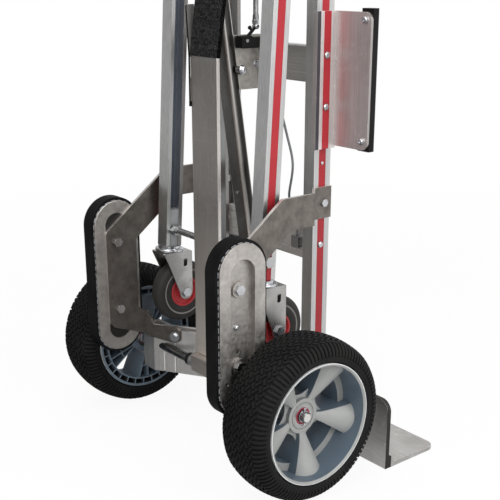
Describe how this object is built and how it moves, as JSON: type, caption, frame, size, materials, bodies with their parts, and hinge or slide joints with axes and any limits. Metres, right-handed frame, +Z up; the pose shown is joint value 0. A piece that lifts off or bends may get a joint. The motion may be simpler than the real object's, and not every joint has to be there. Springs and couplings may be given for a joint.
{
  "type": "stair climbing hand truck",
  "caption": "Aluminium hand truck with nose plate, big wheels, belt stair climbers and a swing-out stabiliser on casters with a foot lever.",
  "frame": {"origin": "on the floor in the middle plane, under the load face of the rails, at the heel of the nose plate", "axes": "+X to the right of an operator standing behind the truck, +Y forward over the nose plate, +Z up"},
  "size_m": [0.553, 0.3979, 1.2905],
  "materials": {
    "mill_aluminium": "mill finish with fine lengthwise lines",
    "red_strip": "smooth red strip",
    "nose_aluminium": "scuffed mill finish",
    "beam_aluminium": "ribbed extrusion",
    "strap_aluminium": "mottled warm grey",
    "cast_aluminium": "satin casting",
    "belt_rubber": "black cogged belt",
    "tyre_rubber": "black tread rubber",
    "hub_paint": "light grey satin",
    "bearing_red": "red seal",
    "zinc_steel": "bright zinc",
    "lever_aluminium": "satin grey-brown",
    "pad_black": "coarse anti-slip",
    "black_plastic": "moulded black",
    "bumper_rubber": "smooth black rubber",
    "chrome_steel": "polished",
    "grey_cable": "grey sheath",
    "caster_tread": "dark grey tread",
    "caster_red": "red wheel core",
    "plug_grey": "grey insert"
  },
  "bodies": {
    "frame": {"main_rail_right": "mill_aluminium", "main_rail_left": "mill_aluminium", "cross_member_lower": "mill_aluminium", "cross_member_upper": "mill_aluminium", "cross_member_top": "mill_aluminium", "wing_right": "mill_aluminium", "wing_left": "mill_aluminium", "handle_loop": "mill_aluminium", "centre_strut": "mill_aluminium", "latch_bracket": "mill_aluminium", "rail_strips": "red_strip", "nose_plate": "nose_aluminium", "axle_beam": "beam_aluminium", "axle_gussets": "beam_aluminium", "dogleg_strap_right": "strap_aluminium", "dogleg_strap_left": "strap_aluminium", "climber_housing_right": "cast_aluminium", "climber_housing_left": "cast_aluminium", "climber_belt_right": "belt_rubber", "climber_belt_left": "belt_rubber", "axle": "zinc_steel", "axle_retainers": "zinc_steel", "frame_bolts": "zinc_steel", "lower_brackets": "zinc_steel", "release_pins": "zinc_steel", "stabiliser_hinges": "zinc_steel", "hand_lever_bracket": "zinc_steel", "end_caps": "black_plastic", "handle_grips": "black_plastic", "latch_body": "black_plastic", "wing_bumpers": "bumper_rubber", "latch_pin": "chrome_steel", "latch_cable": "grey_cable"},
    "wheel_right": {"wheel_tyre_right": "tyre_rubber", "wheel_hub_right": "hub_paint", "wheel_bearings_right": "bearing_red"},
    "wheel_left": {"wheel_tyre_left": "tyre_rubber", "wheel_hub_left": "hub_paint", "wheel_bearings_left": "bearing_red"},
    "foot_lever": {"lever_plate": "lever_aluminium", "lever_pad": "pad_black", "lever_hinge_block": "lever_aluminium"},
    "stabiliser": {"stabiliser_rail_right": "mill_aluminium", "stabiliser_rail_left": "mill_aluminium", "stabiliser_strips": "red_strip", "stabiliser_plugs": "plug_grey", "stabiliser_cross_rod": "zinc_steel", "stabiliser_tie": "mill_aluminium", "caster_raceways": "zinc_steel"},
    "caster_fork_right": {"caster_fork_right": "zinc_steel", "caster_bolt_right": "zinc_steel"},
    "caster_fork_left": {"caster_fork_left": "zinc_steel", "caster_bolt_left": "zinc_steel"},
    "caster_wheel_right": {"caster_tyre_right": "caster_tread", "caster_core_right": "caster_red"},
    "caster_wheel_left": {"caster_tyre_left": "caster_tread", "caster_core_left": "caster_red"},
    "latch_trigger": {"latch_trigger": "black_plastic"},
    "release_rod": {"release_rod": "zinc_steel"},
    "hand_lever": {"hand_lever": "black_plastic"}
  },
  "joints": [
    {"name": "wheel_right_spin", "type": "hinge", "parent": "frame", "child": "wheel_right", "pos_m": [0.2325, -0.15, 0.127], "axis": [1, 0, 0], "continuous": true},
    {"name": "wheel_left_spin", "type": "hinge", "parent": "frame", "child": "wheel_left", "pos_m": [-0.2325, -0.15, 0.127], "axis": [1, 0, 0], "continuous": true},
    {"name": "stabiliser_swing", "type": "hinge", "parent": "frame", "child": "stabiliser", "pos_m": [0, -0.0954, 1.01], "axis": [-1, 0, 0], "range_deg": [0, 15]},
    {"name": "foot_lever_swing", "type": "hinge", "parent": "frame", "child": "foot_lever", "pos_m": [0, -0.15, 0.127], "axis": [1, 0, 0], "range_deg": [0, 44.25]},
    {"name": "caster_right_swivel", "type": "hinge", "parent": "stabiliser", "child": "caster_fork_right", "pos_m": [0.1237, -0.13797, 0.312], "axis": [0, 0.0609, 0.9981], "range_deg": [-30, 150]},
    {"name": "caster_left_swivel", "type": "hinge", "parent": "stabiliser", "child": "caster_fork_left", "pos_m": [-0.1237, -0.13797, 0.312], "axis": [0, -0.0609, -0.9981], "range_deg": [-30, 150]},
    {"name": "caster_right_roll", "type": "hinge", "parent": "caster_fork_right", "child": "caster_wheel_right", "pos_m": [0.1237, -0.11807, 0.22763], "axis": [1, 0, 0], "continuous": true},
    {"name": "caster_left_roll", "type": "hinge", "parent": "caster_fork_left", "child": "caster_wheel_left", "pos_m": [-0.1237, -0.11807, 0.22763], "axis": [1, 0, 0], "continuous": true},
    {"name": "hand_lever_pull", "type": "hinge", "parent": "frame", "child": "hand_lever", "pos_m": [0.03, -0.04, 1.238], "axis": [-1, 0, 0], "range_deg": [0, 8]},
    {"name": "release_rod_lift", "type": "slide", "parent": "frame", "child": "release_rod", "axis": [0, 0, 1], "range_m": [0, 0.0047]},
    {"name": "latch_trigger_turn", "type": "hinge", "parent": "frame", "child": "latch_trigger", "pos_m": [0.03, -0.096, 0.656], "axis": [1, 0, 0], "range_deg": [0, 11]}
  ],
  "couplings": [
    {"joint": "foot_lever_swing", "follows": "stabiliser_swing", "ratio": 2.95},
    {"joint": "release_rod_lift", "follows": "hand_lever_pull", "m_per_rad": 0.03366},
    {"joint": "latch_trigger_turn", "follows": "hand_lever_pull", "ratio": 1.375}
  ]
}
